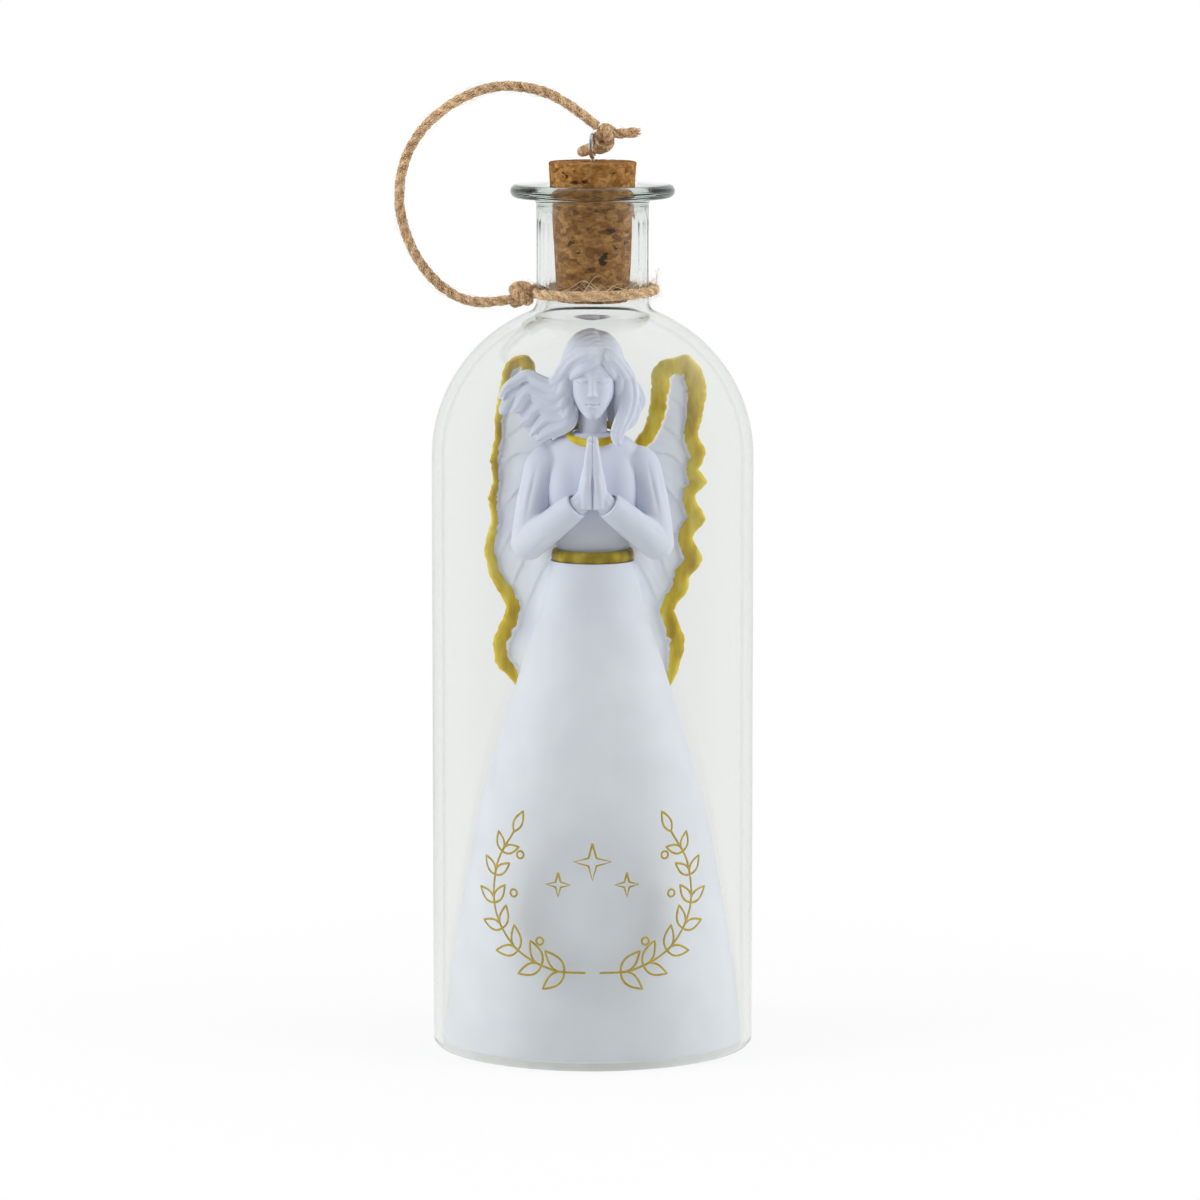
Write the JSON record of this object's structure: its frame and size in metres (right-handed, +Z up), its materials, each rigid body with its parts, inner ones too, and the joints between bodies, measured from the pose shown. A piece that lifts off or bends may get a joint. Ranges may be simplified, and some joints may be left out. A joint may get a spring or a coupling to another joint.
{
  "type": "corked bottle with a figure inside",
  "caption": "Clear glass bottle with a domed shoulder and a corked neck, a twine tether from neck to cork, and a white praying angel figure with gold trim inside.",
  "frame": {"origin": "centre of the pad's underside, on the bottle's axis", "axes": "+Z up the bottle's axis; the figure faces -Y; the tether loop is on the -X side"},
  "size_m": [0.0775, 0.0698, 0.2104],
  "materials": {
    "clear_glass": "clear blown glass with a faint green-grey edge",
    "white_plug": "plain white disc",
    "felt": "pale felt",
    "white_bisque": "matt white bisque",
    "gold_paint": "satin gold paint on bisque",
    "cork": "agglomerated cork with dark flecks",
    "steel_wire": "bright plated wire",
    "jute": "hairy twisted jute twine"
  },
  "bodies": {
    "bottle": {"glass_bottle": "clear_glass", "base_plug": "white_plug", "base_pad": "felt", "figure_skirt": "white_bisque", "figure_bodice": "white_bisque", "left_sleeve": "white_bisque", "right_sleeve": "white_bisque", "left_hand": "white_bisque", "right_hand": "white_bisque", "figure_head": "white_bisque", "figure_hair": "white_bisque", "left_wing": "white_bisque", "right_wing": "white_bisque", "waist_sash": "gold_paint", "neck_band": "gold_paint", "left_wing_border": "gold_paint", "right_wing_border": "gold_paint"},
    "twine_tie": {"neck_twine": "jute", "neck_knot": "jute", "tether_twine": "jute"},
    "cork": {"cork_stopper": "cork", "screw_eye": "steel_wire", "eye_knot": "jute"}
  },
  "joints": [
    {"name": "collar_turn", "type": "hinge", "parent": "bottle", "child": "twine_tie", "pos_m": [0, 0, 0.1652], "axis": [0, 0, 1], "continuous": true},
    {"name": "cork_pull", "type": "slide", "parent": "twine_tie", "child": "cork", "axis": [0, 0, 1], "range_m": [0, 0.04], "deforming": ["tether_twine"]}
  ]
}
